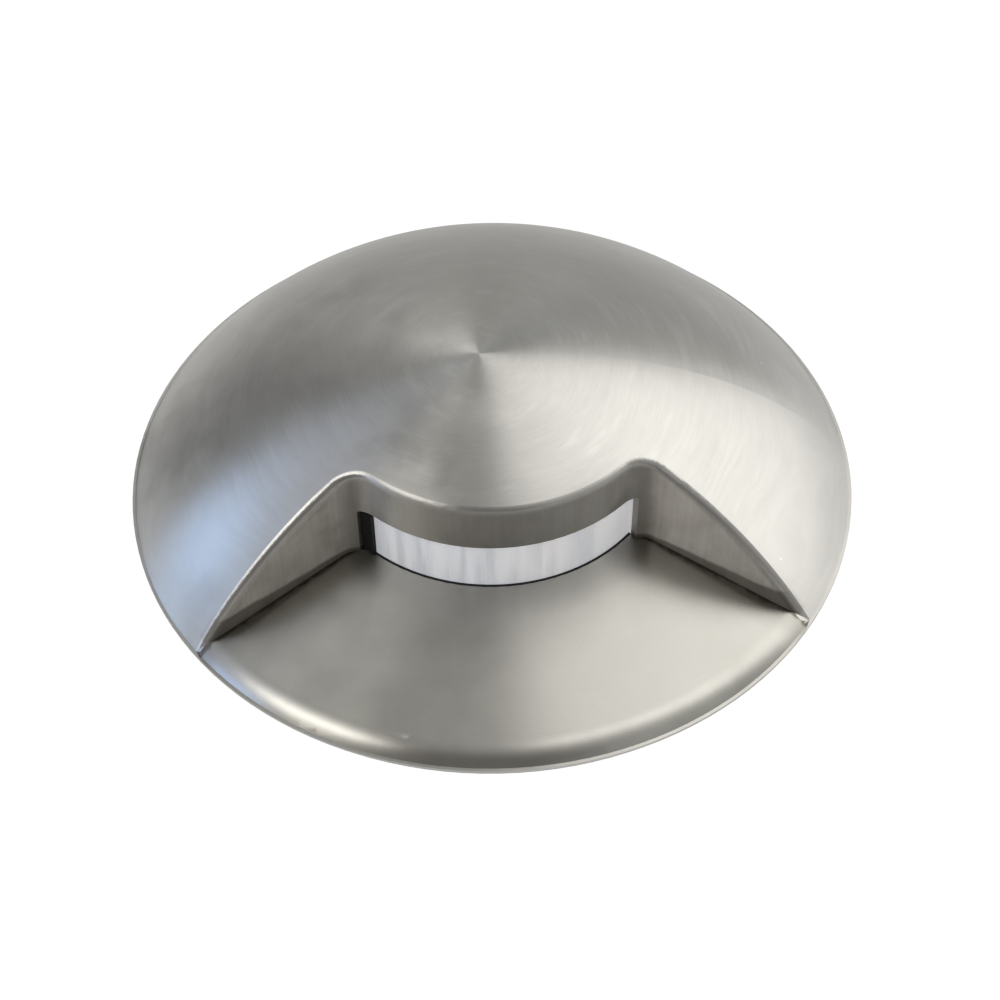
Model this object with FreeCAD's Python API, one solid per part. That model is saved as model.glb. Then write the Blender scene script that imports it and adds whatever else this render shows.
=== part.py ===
"""Recessed eyelid step light: a domed one-way cover on a sprung, sealed low-voltage housing.

Millimetres. The origin is the centre of the gasket's underside, where the light sits on the deck.
+Z points up out of the deck, and the light leaves the fan pocket towards -Y.
"""

import FreeCAD
import Part

import math
import os

Vec = FreeCAD.Vector
UP = Vec(0, 0, 1)

over = 1.0  # how far a cutting tool runs past what it cuts
far_over = 10.0  # the same for tools that must clear the whole part

# ---- cover ---------------------------------------------------------------------------------------
cover_height = 17.4  # crown above the deck
crown_radius = 50.6  # spherical top
shoulder_radius = 38.4  # tighter arc that runs down to the lip
shoulder_start_r = 20.4
cover_wall = 3.0
blank_low_z = -4.0

lip_r = 36.0  # thin turned lip under the dome, the widest part of the cover
lip_height = 0.3
lip_land = 0.3  # flat of the lip in front of the pocket
roll_radius = 2.8  # the pocket's floor rolls over into the lip

pocket_wall_r = 17.25  # curved back wall of the fan pocket
pocket_floor_z = 3.5  # floor height at the back wall
pocket_mouth_z = 2.0  # floor height where it rolls over
pocket_apex = 2.1  # the side walls' planes meet this far in front of the axis
pocket_half_angle = 55.6
pocket_corner_fillet = 2.6
pocket_edge_round = 0.8

slot_half_angle = 48.0
slot_top_z = 9.3
slot_corner_fillet = 0.3

back_wall_thick = 1.6  # above the slot, between the pocket and the lamp chamber
slot_edge_thick = 0.05  # below it the chamber is wider, so that the diffuser fills the slot
lamp_chamber_r = pocket_wall_r - back_wall_thick
lamp_chamber_low_r = pocket_wall_r - slot_edge_thick
lamp_chamber_top_z = 12.5

# ---- seals, housing and stack of the lamp ----------------------------------------------------------
slide_gap = 0.2  # radial room round pieces that drop into a recess

diffuser_gap = 0.25
diffuser_top_gap = 0.6
diffuser_step_gap = 0.1  # under the back wall's lower edge
diffuser_wall = 1.5
diffuser_r = lamp_chamber_low_r - diffuser_gap  # drum that shows in the slot
diffuser_neck_r = lamp_chamber_r - diffuser_gap  # narrower top behind the back wall
diffuser_step_z = slot_top_z - diffuser_step_gap
diffuser_top_z = lamp_chamber_top_z - diffuser_top_gap
diffuser_foot_width = 1.05
diffuser_foot_r = diffuser_r + diffuser_foot_width
diffuser_foot_thick = 1.4
diffuser_seat_z = -0.2
diffuser_edge_round = 0.6
diffuser_seal_thick = 0.6
foot_recess_r = diffuser_foot_r + slide_gap

bead_gap = 0.02  # between the sealant and what it seals
bead_depth = 1.0  # the bead reaches this far below the pocket's floor
bead_proud = 0.05
bead_end_angle = 4.4  # the bead fills the slot's left end over this angle
bead_end_thick = 0.45

recess_wall = 1.3  # metal outside the diffuser's recess
body_r = foot_recess_r + recess_wall
body_wall = 4.7
body_bottom_z = -15.0
chamber_r = body_r - body_wall  # driver chamber
led_seat_z = -0.8
chamber_roof = 2.8
chamber_top_z = led_seat_z - chamber_roof

oring_section_r = 0.37
oring_groove_half = 0.65
oring_groove_depth = 0.75
oring_land = 1.05  # metal between the diffuser's recess and the groove
oring_centre_r = foot_recess_r + oring_land + oring_groove_half

hub_over_oring = 0.85
hub_r = oring_centre_r + oring_groove_half + hub_over_oring  # solid ring round the lamp chamber
relief_inset = 5.0
relief_outer_r = lip_r - relief_inset

led_board_inset = 5.6  # the board's edge inside the housing's outside
led_board_r = body_r - led_board_inset
led_board_room = 1.1
led_seat_r = led_board_r + led_board_room
led_board_thick = 1.2
pad_thick = 0.4
pad_inset = 0.3
pad_r = led_board_r - pad_inset
chip_ring_r = 9.5
chip_size = (2.8, 3.5, 0.7)
chip_well = (1.1, 0.85, 0.3)  # radius at the top and at the floor, depth
chip_angles = (-150, -120, -90, -60, -30)

reflector_gap = 0.3
reflector_rim_r = diffuser_neck_r - diffuser_wall - 2 * reflector_gap
reflector_rim_z = diffuser_top_z - diffuser_wall - reflector_gap
reflector_rim_height = 0.8
reflector_post_r = 2.6
reflector_post_z = 3.0
reflector_wall = 1.2
reflector_floor = 1.6  # thickness over the post

# ---- screws: shank radius, length under the head, head radius, head height -----------------------------
M3_CSK = (1.5, 6.3, 2.8, 1.7)
M2_PAN = (1.0, 3.8, 1.9, 1.2)
M2_BOARD = (1.0, 2.6, 1.9, 1.1)
M25_PAN = (1.25, 3.4, 2.2, 1.4)
M25_POST = (1.25, 6.6, 2.2, 1.3)
M25_CSK = (1.25, 5.1, 2.2, 1.2)
csk_edge = 0.2  # straight edge of a countersunk head
csk_gap = 0.1  # room between a countersunk head and its seat
thread_gap = 0.05
hole_gap = 0.15
blind_room = 0.5  # hole left beyond a screw's tip
tip_room = 0.2  # the same where the metal is thin
slot_width = 0.5
slot_depth = 0.45

screw_head_room = 0.5
cover_screw_r = body_r + M3_CSK[2] + screw_head_room
cover_screw_angles = (28, 152, 208, 332)
cover_boss_r = 3.6
led_screw_inset = 3.4  # from the board's edge
led_screw_x = led_board_r - led_screw_inset
led_screw_y = 3.5

# ---- flange and gasket ---------------------------------------------------------------------------------
spigot_r = cover_screw_r + cover_boss_r  # flange of the housing that fills the hole in the deck
flange_thick = 3.0
spigot_chamfer = 0.4
gasket_thick = 0.6
gasket_room = 1.0  # gap between the spigot and the gasket
gasket_inset = 0.35  # the gasket stays this far under the lip
gasket_inner_r = spigot_r + gasket_room
gasket_outer_r = lip_r - gasket_inset

# ---- driver ------------------------------------------------------------------------------------------
wire_r = 0.42
wire_x = 0.8
wire_y = 9.5
wire_gap = 0.06
wire_stub = 0.5  # length past each board
grommet_r = 1.55
grommet_flange_r = 2.1
grommet_flange_thick = 0.35
driver_board_gap = 1.2
driver_board_r = chamber_r - driver_board_gap
board_screw_inset = 2.8
board_screw_x = driver_board_r - board_screw_inset
driver_board_thick = 1.2
standoff_length = 2.4
driver_board_top_z = chamber_top_z - standoff_length
standoff_r = 2.3
inductor_size = (6.0, 6.0, 3.0)
inductor_at = (-5.6, -6.4)
inductor_winding = (1.5, 2.2)  # groove between core and rim
winding_depth = 0.3
capacitor_r = 2.0
capacitor_height = 4.2
can_edge_round = 0.3
crimp_height = 1.0
crimp_depth = 0.15
crimp_width = 0.3
capacitor_x = 6.2
capacitor_y = 8.0
bridge_size = (4.7, 3.8, 2.0)
bridge_at = (5.8, -7.6)
bridge_lead_x = 1.4
bridge_lead = (0.7, 0.9)
bridge_lead_out = 0.3
chip_body_size = (3.9, 4.9, 1.5)
chip_body_at = (0.4, -9.6)
dimple_r = 0.35
dimple_depth = 0.2
terminal_size = (7.6, 4.6, 3.8)
terminal_at = (0.0, -0.8)
terminal_pole_x = 1.9
terminal_screw_r = 1.2
terminal_screw_sunk = 0.5
terminal_hole_depth = 1.6
wire_mouth = (1.1, 0.8, 2.6)  # half width, lower and upper side

# ---- back cap and gland ---------------------------------------------------------------------------------
cap_thick = 2.4
cap_slide_gap = 0.1
cap_spigot_wall = 2.1
cap_spigot_inner_r = chamber_r - cap_slide_gap - cap_spigot_wall
cap_spigot_height = 2.6
cap_oring_groove = (0.8, 0.7, 1.9)  # depth, lower and upper side above the plate
cap_oring_section_r = 0.37
oring_touch_gap = 0.02
cap_edge_chamfer = 0.5
cap_screw_r = (chamber_r + body_r) / 2
cap_screw_angles = (90, 210, 330)

gland_thread_r = 6.0
gland_bore_r = 3.3
gland_flats = 14.5
gland_flange_height = 2.4
gland_washer_thick = 0.8
gland_washer_r = 7.6
gland_stub = 4.0  # thread below the flange, under the nut
gland_seal_r = 4.5
gland_seal_bore_r = 3.0
gland_seal_length = 3.6
gland_seal_proud = 0.4
thread_end = 0.5  # thread seen past the locknut
gland_nut_gap = 0.4
gland_nut_hex = 3.2
gland_nut_exit_r = 3.4
gland_nut_end = 2.2
gland_nut_wall = 1.4
gland_nut_bulge = (0.7, 0.6)
locknut_height = 2.6

# ---- cooling grooves ---------------------------------------------------------------------------------------
groove_width = 1.4
groove_depth = 0.9
groove_below_flange = 2.0
groove_above_base = 1.4
groove_bottom_z = body_bottom_z + groove_above_base
groove_angles = [a for c in (90, 270) for a in range(c - 48, c + 49, 12)]

# ---- retaining clips ---------------------------------------------------------------------------------------
clip_flat_depth = 0.7
clip_flat_x = body_r - clip_flat_depth  # flat on the housing that carries a bracket
sheet = 0.8
bracket_half_width = 6.0
bracket_foot = 0.8  # bracket's lower edge above the housing's
bracket_bottom_z = body_bottom_z + bracket_foot
bracket_foot_round = 1.5
ear_round = 1.8
pin_standoff = 3.0
pin_x = clip_flat_x + pin_standoff
pin_below_flange = 4.2
pin_r = 1.0
pin_head_r = 1.7
pin_head_thick = 0.6
pin_gap = 0.03
pivot_gap = 0.05
ear_reach = 2.2
ear_x = pin_x + ear_reach
ear_below_pin = 2.8
arm_sheet = 0.7
arm_half_width = 5.0
arm_web_height = 2.2  # web's underside above the pin
arm_reach = 11.4
arm_cheek_r = 2.1
arm_cheek_reach = 8.6
cheek_lean = -48.0  # where the cheek's lower edge leaves the disc round the pin
arm_tip_half_width = 4.0
stop_gap = 0.05
tab_thick = 0.7
pad_half_width = 4.8
pad_below = 0.6
pad_above = 0.5
pad_end_wall = 0.55
pad_corner_round = 1.6
neck_length = 1.0
screw_above_foot = 2.2
bracket_screw_z = bracket_bottom_z + screw_above_foot

spring_wire_r = 0.3
spring_mean_r = 1.8
spring_pitch = 1.25
spring_turns = 4.25
spring_fixed_leg = 5.2
spring_moving_leg = 5.0


def cylinder(radius, z_low, z_high, x=0.0, y=0.0):
    return Part.makeCylinder(radius, z_high - z_low, Vec(x, y, z_low))


def ring(inner, outer, z_low, z_high, x=0.0, y=0.0):
    hole = cylinder(inner, z_low - over, z_high + over, x, y)
    return cylinder(outer, z_low, z_high, x, y).cut(hole)


def box(x_range, y_range, z_range):
    size = [high - low for low, high in (x_range, y_range, z_range)]
    return Part.makeBox(*size, Vec(x_range[0], y_range[0], z_range[0]))


def spin(edges):
    """Solid of revolution about Z from edges drawn in the XZ plane."""
    face = Part.Face(Part.Wire(edges))
    solid = face.revolve(Vec(0, 0, 0), UP, 360)
    return Part.Solid(solid.Shells[0]) if solid.ShapeType != "Solid" else solid


def spin_points(points):
    corners = [Vec(r, 0, z) for r, z in points]
    return spin(Part.makePolygon(corners + corners[:1]).Edges)


def line(start, end):
    return Part.LineSegment(start, end).toShape()


def arc(start, middle, end):
    return Part.Arc(start, middle, end).toShape()


def joined(shapes):
    total = shapes[0]
    for shape in shapes[1:]:
        total = total.fuse(shape)
    return total.removeSplitter()


def without(shape, tools):
    for tool in tools:
        shape = shape.cut(tool)
    return shape


def turned(shape, degrees, axis=UP, centre=Vec(0, 0, 0)):
    copy = shape.copy()
    copy.rotate(centre, axis, degrees)
    return copy


def moved(shape, x=0.0, y=0.0, z=0.0):
    copy = shape.copy()
    copy.translate(Vec(x, y, z))
    return copy


def mirrored(shape):
    """The same piece on the -X side."""
    return shape.mirror(Vec(0, 0, 0), Vec(1, 0, 0))


def polar(radius, degrees):
    return radius * math.cos(math.radians(degrees)), radius * math.sin(math.radians(degrees))


def hexagon(flats, z_low, z_high):
    corner = flats / math.sqrt(3)
    points = [Vec(*polar(corner, 60 * k), z_low) for k in range(7)]
    prism = Part.Face(Part.makePolygon(points)).extrude(Vec(0, 0, z_high - z_low))
    chamfer = (corner - flats / 2) * 0.8
    bounds = spin_points(
        [
            (0, z_low),
            (corner - chamfer, z_low),
            (corner + 0.01, z_low + chamfer),
            (corner + 0.01, z_high - chamfer),
            (corner - chamfer, z_high),
            (0, z_high),
        ]
    )
    return prism.common(bounds)


def pan_screw(size):
    """Head above z = 0, shank below, with a cross recess."""
    shank_r, length, head_r, head_height = size
    dome_drop = head_height * 0.35
    side = line(Vec(head_r, 0, 0), Vec(head_r, 0, head_height - dome_drop))
    crown = arc(
        Vec(head_r, 0, head_height - dome_drop),
        Vec(head_r * 0.6, 0, head_height - dome_drop * 0.3),
        Vec(0, 0, head_height),
    )
    axis = line(Vec(0, 0, head_height), Vec(0, 0, 0))
    head = spin([line(Vec(0, 0, 0), Vec(head_r, 0, 0)), side, crown, axis])
    screw = joined([head, cylinder(shank_r, -length, 0)])
    return cross_recess(screw, head_r * 0.55, head_height)


def flat_screw(size):
    """Countersunk: the head's flat top is at z = 0 and the shank points down."""
    shank_r, length, head_r, head_height = size
    screw = spin_points(
        [
            (0, 0),
            (head_r, 0),
            (head_r, -csk_edge),
            (shank_r, -head_height),
            (shank_r, -head_height - length),
            (0, -head_height - length),
        ]
    )
    return cross_recess(screw, head_r * 0.55, 0.0)


def cross_recess(screw, reach, top_z):
    half = slot_width / 2
    bar = box((-reach, reach), (-half, half), (top_z - slot_depth, top_z + over))
    return without(screw, [bar, turned(bar, 90)])


def countersink(size, gap):
    """Hole for a countersunk screw, drawn as the screw with a gap round it."""
    shank_r, length, head_r, head_height = size
    return spin_points(
        [
            (0, over),
            (head_r + gap, over),
            (head_r + gap, -csk_edge),
            (shank_r + gap, -head_height - gap * 0.5),
            (shank_r + gap, -head_height - length),
            (0, -head_height - length),
        ]
    )


# ---- heights that follow from the sizes above -------------------------------------------------------------
flange_top_z = gasket_thick
flange_bottom_z = flange_top_z - flange_thick
lip_top_z = gasket_thick + lip_height
groove_top_z = flange_bottom_z - groove_below_flange
pin_z = flange_bottom_z - pin_below_flange
ear_bottom_z = pin_z - ear_below_pin
foot_top_z = diffuser_seat_z + diffuser_foot_thick
counterbore_z = foot_top_z + diffuser_seal_thick
pad_top_z = led_seat_z + pad_thick
board_top_z = pad_top_z + led_board_thick
driver_board_bottom_z = driver_board_top_z - driver_board_thick
cap_bottom_z = body_bottom_z - cap_thick
cap_groove_floor_r = chamber_r - cap_oring_groove[0]
cap_groove_low_z = body_bottom_z + cap_oring_groove[1]
cap_groove_high_z = body_bottom_z + cap_oring_groove[2]
tab_bottom_z = pin_z + arm_web_height + arm_sheet + stop_gap

crown_centre_z = cover_height - crown_radius
crown_angle = math.asin(shoulder_start_r / crown_radius)
shoulder_centre_r = (crown_radius - shoulder_radius) * math.sin(crown_angle)
shoulder_centre_z = crown_centre_z + (crown_radius - shoulder_radius) * math.cos(crown_angle)


def shoulder_height(radius, inset=0.0):
    """Height of the shoulder arc, or of the same arc set in by a wall, at a radius from the axis."""
    reach = shoulder_radius - inset
    return shoulder_centre_z + math.sqrt(reach**2 - (radius - shoulder_centre_r) ** 2)


def shoulder_point(angle, inset=0.0):
    reach = shoulder_radius - inset
    r = shoulder_centre_r + reach * math.sin(angle)
    return Vec(r, 0, shoulder_centre_z + reach * math.cos(angle))


def circles(shape, radius, z, tolerance=0.01):
    found = []
    for edge in shape.Edges:
        if edge.Degenerated or edge.Curve.TypeId != "Part::GeomCircle":
            continue
        same_height = abs(edge.Curve.Center.z - z) < tolerance
        if same_height and abs(edge.Curve.Radius - radius) < tolerance:
            found.append(edge)
    return found


def dome_blank():
    """The dome alone, run on below the rim so that its edges end cleanly."""
    low_angle = math.acos((blank_low_z - shoulder_centre_z) / shoulder_radius)
    shoulder_top = shoulder_point(crown_angle)
    low = shoulder_point(low_angle)
    crown_middle = Vec(
        crown_radius * math.sin(crown_angle / 2),
        0,
        crown_centre_z + crown_radius * math.cos(crown_angle / 2),
    )
    top = Vec(0, 0, cover_height)
    bottom = Vec(0, 0, blank_low_z)
    return spin(
        [
            line(bottom, low),
            arc(low, shoulder_point((low_angle + crown_angle) / 2), shoulder_top),
            arc(shoulder_top, crown_middle, top),
            line(top, bottom),
        ]
    )


def rim_disc():
    """Base of the cover: the lip, the roll over it and the pocket's coned floor."""
    foot_r = lip_r - lip_land
    centre_z = pocket_mouth_z - roll_radius
    foot_angle = math.asin((lip_top_z - centre_z) / roll_radius)
    centre_r = foot_r - roll_radius * math.cos(foot_angle)
    middle_angle = (foot_angle + math.pi / 2) / 2
    roll_foot = Vec(foot_r, 0, lip_top_z)
    roll_middle = Vec(
        centre_r + roll_radius * math.cos(middle_angle),
        0,
        centre_z + roll_radius * math.sin(middle_angle),
    )
    roll_top = Vec(centre_r, 0, pocket_mouth_z)
    wall_foot = Vec(pocket_wall_r, 0, pocket_floor_z)
    floor_centre = Vec(0, 0, pocket_floor_z)
    base_centre = Vec(0, 0, gasket_thick)
    lip_low = Vec(lip_r, 0, gasket_thick)
    lip_high = Vec(lip_r, 0, lip_top_z)
    return spin(
        [
            line(base_centre, lip_low),
            line(lip_low, lip_high),
            line(lip_high, roll_foot),
            arc(roll_foot, roll_middle, roll_top),
            line(roll_top, wall_foot),
            line(wall_foot, floor_centre),
            line(floor_centre, base_centre),
        ]
    )


def wedge(apex, z_low, z_high):
    """Prism between two vertical planes that open towards -Y from a line on the axis plane."""
    reach = 3 * lip_r
    half = math.radians(pocket_half_angle)
    side = Vec(reach * math.sin(half), -apex - reach * math.cos(half), z_low)
    points = [Vec(0, -apex, z_low), side, Vec(-side.x, side.y, z_low), Vec(0, -apex, z_low)]
    return Part.Face(Part.makePolygon(points)).extrude(Vec(0, 0, z_high - z_low))


def fan_cut():
    """Everything in front of the pocket's three walls, with its two inner corners rounded."""
    above = cover_height + far_over
    below = blank_low_z - over
    sweep = ring(pocket_wall_r, 2 * lip_r, below, above)
    cut = sweep.common(wedge(pocket_apex, below - over, above + over)).Solids[0]
    corners = []
    for edge in cut.Edges:
        low, high = edge.Vertexes[0].Point, edge.Vertexes[-1].Point
        upright = math.hypot(low.x - high.x, low.y - high.y) < 1e-6
        if upright and math.hypot(low.x, low.y) < pocket_wall_r + over:
            corners.append(edge)
    return cut.makeFillet(pocket_corner_fillet, corners)


def sector(start, end):
    """Upright wedge round the axis between two angles, counted from -Y towards +X."""
    reach = 2 * lip_r
    points = [Vec(0, 0, 0)]
    for angle in (start, (start + end) / 2, end):
        points.append(Vec(*polar(reach, angle - 90), 0))
    return Part.Face(Part.makePolygon(points + points[:1])).extrude(Vec(0, 0, cover_height))


def slot():
    """Curved window through the pocket's back wall, on into the rounded corners at its ends."""
    reach = pocket_wall_r + pocket_corner_fillet
    window = ring(lamp_chamber_low_r - over, reach, pocket_floor_z, slot_top_z)
    window = window.common(sector(-slot_half_angle, slot_half_angle)).Solids[0]
    ends = [
        edge
        for edge in window.Edges
        if abs(edge.Vertexes[0].Z - edge.Vertexes[-1].Z) < 1e-6
        and edge.Curve.TypeId == "Part::GeomLine"
        and edge.Vertexes[0].Z > pocket_floor_z + over
    ]
    return window.makeFillet(slot_corner_fillet, ends)


def cover_relief():
    """Hollow under the dome that leaves an even wall, the fan's walls and the screw bosses."""
    below = gasket_thick - over
    inner_high = Vec(hub_r, 0, shoulder_height(hub_r, cover_wall))
    inner_low = Vec(relief_outer_r, 0, shoulder_height(relief_outer_r, cover_wall))
    middle_r = (hub_r + relief_outer_r) / 2
    hollow = spin(
        [
            line(Vec(hub_r, 0, below), Vec(relief_outer_r, 0, below)),
            line(Vec(relief_outer_r, 0, below), inner_low),
            arc(inner_low, Vec(middle_r, 0, shoulder_height(middle_r, cover_wall)), inner_high),
            line(inner_high, Vec(hub_r, 0, below)),
        ]
    )
    fan_apex = pocket_apex - cover_wall / math.sin(math.radians(pocket_half_angle))
    keep = [wedge(fan_apex, below - over, cover_height + over)]
    for angle in cover_screw_angles:
        place = polar(cover_screw_r, angle)
        keep.append(cylinder(cover_boss_r, below - over, cover_height, *place))
    return without(hollow, keep)


def brow_edges(shape):
    """Edges where the pocket's walls break out through the dome."""
    chosen = []
    for edge in shape.Edges:
        if edge.Degenerated:
            continue
        span = edge.LastParameter - edge.FirstParameter
        points = [edge.valueAt(edge.FirstParameter + span * part) for part in (0.23, 0.5, 0.81)]
        if all(on_dome(point) and on_wall(point) for point in points):
            chosen.append(edge)
    return chosen


def on_dome(point):
    r = math.hypot(point.x, point.y)
    if r < shoulder_start_r:
        z = crown_centre_z + math.sqrt(crown_radius**2 - r**2)
    else:
        z = shoulder_height(r)
    return abs(point.z - z) < 0.01


def on_wall(point):
    """On the back wall, a side wall or the corner between them, seen from above."""
    half = math.radians(pocket_half_angle)
    off_side = abs(abs(point.x) * math.cos(half) + (point.y + pocket_apex) * math.sin(half))
    near_corner = pocket_corner_fillet
    r = math.hypot(point.x, point.y)
    return point.y < 0 and r > pocket_wall_r - 0.01 and (off_side < near_corner or r < pocket_wall_r + 0.01)


def eyelid_cover():
    upper = dome_blank().cut(fan_cut())
    upper = upper.makeFillet(pocket_edge_round, brow_edges(upper))
    upper = upper.cut(cylinder(3 * lip_r, blank_low_z - over, gasket_thick + lip_height / 2))
    shell = joined([upper, rim_disc()])
    chamber = cylinder(lamp_chamber_r, gasket_thick - over, lamp_chamber_top_z)
    low_chamber = cylinder(lamp_chamber_low_r, gasket_thick - over, slot_top_z)
    counterbore = cylinder(foot_recess_r, gasket_thick - over, counterbore_z)
    shell = without(shell, [chamber, low_chamber, counterbore, slot(), cover_relief()])
    shank_r, length, _, head_height = M3_CSK
    tip_z = flange_bottom_z + head_height + length
    for angle in cover_screw_angles:
        x, y = polar(cover_screw_r, angle)
        shell = shell.cut(cylinder(shank_r + thread_gap, gasket_thick - over, tip_z + blind_room, x, y))
    return shell


def deck_gasket():
    return ring(gasket_inner_r, gasket_outer_r, 0, gasket_thick)


def diffuser():
    """Stepped drum: its wide part fills the slot, its neck stands behind the back wall."""
    neck = cylinder(diffuser_neck_r, diffuser_seat_z, diffuser_top_z)
    neck = neck.makeFillet(diffuser_edge_round, circles(neck, diffuser_neck_r, diffuser_top_z))
    drum = cylinder(diffuser_r, diffuser_seat_z, diffuser_step_z)
    foot = cylinder(diffuser_foot_r, diffuser_seat_z, foot_top_z)
    low = diffuser_seat_z - over
    hollows = [
        cylinder(diffuser_neck_r - diffuser_wall, low, diffuser_top_z - diffuser_wall),
        cylinder(diffuser_r - diffuser_wall, low, diffuser_step_z - diffuser_wall),
    ]
    return without(joined([neck, drum, foot]), hollows)


def lens_bead():
    """Sealant between the slot's edge and the diffuser; it also fills the slot's left end."""
    inner = diffuser_r + bead_gap
    low, high = pocket_floor_z - bead_depth, pocket_floor_z + bead_proud
    half = slot_half_angle - math.degrees(bead_gap / pocket_wall_r)
    line_bead = ring(inner, lamp_chamber_low_r - bead_gap, low, high)
    line_bead = line_bead.common(sector(-half, half))
    end_low, end_high = pocket_floor_z + bead_gap, slot_top_z - slot_corner_fillet
    end = ring(inner, inner + bead_end_thick, end_low, end_high)
    end = end.common(sector(-half, bead_end_angle - half))
    return joined([line_bead, end])


def diffuser_seal():
    return ring(diffuser_r + slide_gap, diffuser_foot_r, foot_top_z, counterbore_z)


def reflector():
    rim_low = reflector_rim_z - reflector_rim_height
    cone = spin_points(
        [
            (0, board_top_z),
            (reflector_post_r, board_top_z),
            (reflector_post_r, reflector_post_z),
            (reflector_rim_r, rim_low),
            (reflector_rim_r, reflector_rim_z),
            (reflector_rim_r - reflector_wall, reflector_rim_z),
            (reflector_post_r - reflector_wall, reflector_post_z + reflector_floor),
            (0, reflector_post_z + reflector_floor),
        ]
    )
    tip_z = chamber_top_z + M25_POST[1]
    return cone.cut(cylinder(M25_POST[0] + thread_gap, 0, tip_z + tip_room))


def reflector_screw():
    return moved(turned(pan_screw(M25_POST), 180, Vec(1, 0, 0)), z=chamber_top_z)


def wire_holes(radius, z_low, z_high):
    return [cylinder(radius, z_low, z_high, x, wire_y) for x in (-wire_x, wire_x)]


def led_board():
    board = cylinder(led_board_r, pad_top_z, board_top_z)
    low, high = pad_top_z - over, board_top_z + over
    holes = wire_holes(wire_r + wire_gap, low, high)
    holes.append(cylinder(M25_POST[0] + hole_gap, low, high))
    for x in (-led_screw_x, led_screw_x):
        holes.append(cylinder(M2_PAN[0] + hole_gap, low, high, x, led_screw_y))
    return without(board, holes)


def led_chips():
    width, depth, height = chip_size
    well_top_r, well_low_r, well_depth = chip_well
    chips = []
    for angle in chip_angles:
        package = box((-depth / 2, depth / 2), (-width / 2, width / 2), (0, height))
        floor_z = height - well_depth
        well = spin_points([(0, height), (well_top_r, height), (well_low_r, floor_z), (0, floor_z)])
        x, y = polar(chip_ring_r, angle)
        chips.append(moved(turned(package.cut(well), angle + 90), x, y, board_top_z))
    return Part.makeCompound(chips)


def led_board_screws():
    screw = moved(pan_screw(M2_PAN), z=board_top_z)
    return Part.makeCompound([moved(screw, x, led_screw_y) for x in (-led_screw_x, led_screw_x)])


def thermal_pad():
    pad = cylinder(pad_r, led_seat_z, pad_top_z)
    low, high = led_seat_z - over, pad_top_z + over
    holes = [
        cylinder(grommet_flange_r + hole_gap, low, high, 0, wire_y),
        cylinder(M25_POST[0] + hole_gap, low, high),
    ]
    for x in (-led_screw_x, led_screw_x):
        holes.append(cylinder(M2_PAN[0] + hole_gap, low, high, x, led_screw_y))
    return without(pad, holes)


def housing():
    flange = cylinder(spigot_r, flange_bottom_z, flange_top_z)
    flange = flange.makeChamfer(spigot_chamfer, circles(flange, spigot_r, flange_bottom_z))
    body = cylinder(body_r, body_bottom_z, flange_top_z)
    down = (body_bottom_z - over, flange_bottom_z)
    flat = box((clip_flat_x, body_r + over), (-body_r, body_r), down)
    body = without(body, [flat, mirrored(flat)])
    shell = joined([flange, body])
    cuts = [
        cylinder(foot_recess_r, diffuser_seat_z, flange_top_z + over),
        cylinder(led_seat_r, led_seat_z, flange_top_z + over),
        cylinder(chamber_r, body_bottom_z - over, chamber_top_z),
        ring(
            oring_centre_r - oring_groove_half,
            oring_centre_r + oring_groove_half,
            flange_top_z - oring_groove_depth,
            flange_top_z + over,
        ),
        cylinder(grommet_r, chamber_top_z - over, flange_top_z, 0, wire_y),
        cylinder(M25_POST[0] + hole_gap, chamber_top_z - over, flange_top_z),
    ]
    for x in (-led_screw_x, led_screw_x):
        tip_z = board_top_z - M2_PAN[1]
        cuts.append(cylinder(M2_PAN[0] + thread_gap, tip_z - tip_room, flange_top_z, x, led_screw_y))
    sink = moved(turned(countersink(M3_CSK, csk_gap), 180, Vec(1, 0, 0)), z=flange_bottom_z)
    for angle in cover_screw_angles:
        cuts.append(moved(sink, *polar(cover_screw_r, angle)))
    tip_z = cap_bottom_z + M25_CSK[3] + M25_CSK[1]
    for angle in cap_screw_angles:
        x, y = polar(cap_screw_r, angle)
        hole_r = M25_CSK[0] + thread_gap
        cuts.append(cylinder(hole_r, body_bottom_z - over, tip_z + blind_room, x, y))
    shank = Part.makeCylinder(
        M25_PAN[0] + thread_gap,
        M25_PAN[1],
        Vec(clip_flat_x + sheet, 0, bracket_screw_z),
        Vec(-1, 0, 0),
    )
    cuts.extend([shank, mirrored(shank)])
    groove = box(
        (body_r - groove_depth, body_r + over),
        (-groove_width / 2, groove_width / 2),
        (groove_bottom_z, groove_top_z),
    )
    cuts.extend(turned(groove, angle) for angle in groove_angles)
    shell = without(shell, cuts)
    standoff = cylinder(standoff_r, driver_board_top_z, chamber_top_z, board_screw_x)
    shell = joined([shell, standoff, mirrored(standoff)])
    tapped = cylinder(
        M2_BOARD[0] + thread_gap,
        driver_board_bottom_z - over,
        driver_board_bottom_z + M2_BOARD[1] + tip_room,
        board_screw_x,
    )
    return without(shell, [tapped, mirrored(tapped)])


def torus(centre_r, section_r, z):
    return Part.makeTorus(centre_r, section_r, Vec(0, 0, z))


def housing_oring():
    floor_z = flange_top_z - oring_groove_depth
    return torus(oring_centre_r, oring_section_r, floor_z + oring_section_r)


def cover_screws():
    screw = moved(turned(flat_screw(M3_CSK), 180, Vec(1, 0, 0)), z=flange_bottom_z)
    screws = [moved(screw, *polar(cover_screw_r, angle)) for angle in cover_screw_angles]
    return Part.makeCompound(screws)


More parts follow.
